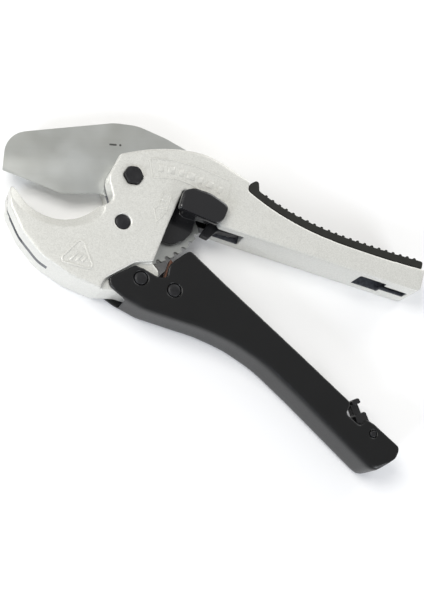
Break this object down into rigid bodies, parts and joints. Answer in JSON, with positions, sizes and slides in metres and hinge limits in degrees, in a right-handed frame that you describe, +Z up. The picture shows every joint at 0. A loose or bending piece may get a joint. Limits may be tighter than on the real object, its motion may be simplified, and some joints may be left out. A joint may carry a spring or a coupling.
{
  "type": "pvc pipe cutter",
  "caption": "Ratchet pipe cutter for plastic pipe: cast hooked jaw, pivoting blade plate, hinged lower handle, thumb release lever and lock catch.",
  "frame": {"origin": "centre of the tool's bounding box, on the plane that it lies on", "axes": "+X along the upper handle away from the jaw, +Y from the lower handle towards the upper one, +Z up through the thumb pad"},
  "size_m": [0.2118, 0.1318, 0.0247],
  "materials": {
    "silver_paint": "satin",
    "rubber": "matte",
    "blade_steel": "satin",
    "black_oxide": "satin",
    "black_coat": "matte",
    "gloss_black": "gloss",
    "brown_steel": "satin",
    "spring_steel": "satin"
  },
  "bodies": {
    "frame": {"frame_casting": "silver_paint", "handle_grip": "rubber", "blade_bolt": "black_oxide", "blade_nut": "black_oxide", "bolt_washer": "black_oxide", "blade_bush": "spring_steel", "stop_pin": "black_oxide", "hold_pawl_pin": "black_oxide", "handle_bush": "spring_steel", "handle_return_spring": "spring_steel", "release_spring": "spring_steel", "hold_pawl_spring": "spring_steel"},
    "blade": {"blade": "blade_steel"},
    "lever": {"release_lever": "gloss_black", "release_lever_far": "gloss_black", "lever_rivet": "gloss_black"},
    "hold_pawl": {"hold_pawl": "black_oxide"},
    "handle": {"lower_handle": "black_coat", "handle_pivot_pin": "black_oxide", "drive_pawl_pin": "black_oxide", "lock_pin": "black_oxide", "drive_pawl_spring": "spring_steel", "lock_spring": "spring_steel"},
    "drive_pawl": {"drive_pawl": "brown_steel"},
    "catch": {"lock_catch": "gloss_black"}
  },
  "joints": [
    {"name": "blade_swing", "type": "hinge", "parent": "frame", "child": "blade", "pos_m": [-0.04707, 0.03654, 0.01], "axis": [0, 0, 1], "range_deg": [0, 31]},
    {"name": "handle_swing", "type": "hinge", "parent": "frame", "child": "handle", "pos_m": [-0.03207, -0.01016, 0.01], "axis": [0, 0, 1], "range_deg": [0, 28], "stiffness_Nm_per_rad": 0.3, "springref_deg": -20.05},
    {"name": "drive_pawl_turn", "type": "hinge", "parent": "handle", "child": "drive_pawl", "pos_m": [-0.01587, -0.01096, 0.01], "axis": [0, 0, 1], "range_deg": [-60, 0]},
    {"name": "lever_press", "type": "hinge", "parent": "frame", "child": "lever", "pos_m": [-0.04707, 0.03654, 0.01], "axis": [0, 0, 1], "range_deg": [-5, 0], "stiffness_Nm_per_rad": 0.4, "springref_deg": 5.73},
    {"name": "hold_pawl_lift", "type": "hinge", "parent": "frame", "child": "hold_pawl", "pos_m": [0.00693, 0.03104, 0.01], "axis": [0, 0, 1], "range_deg": [0, 13]},
    {"name": "catch_turn", "type": "hinge", "parent": "handle", "child": "catch", "pos_m": [0.09163, -0.04916, 0.01], "axis": [0, 0, 1], "range_deg": [-61.4, 0]}
  ],
  "couplings": [
    {"joint": "drive_pawl_turn", "follows": "handle_swing", "ratio": -2.05},
    {"joint": "hold_pawl_lift", "follows": "lever_press", "ratio": -2.5}
  ]
}
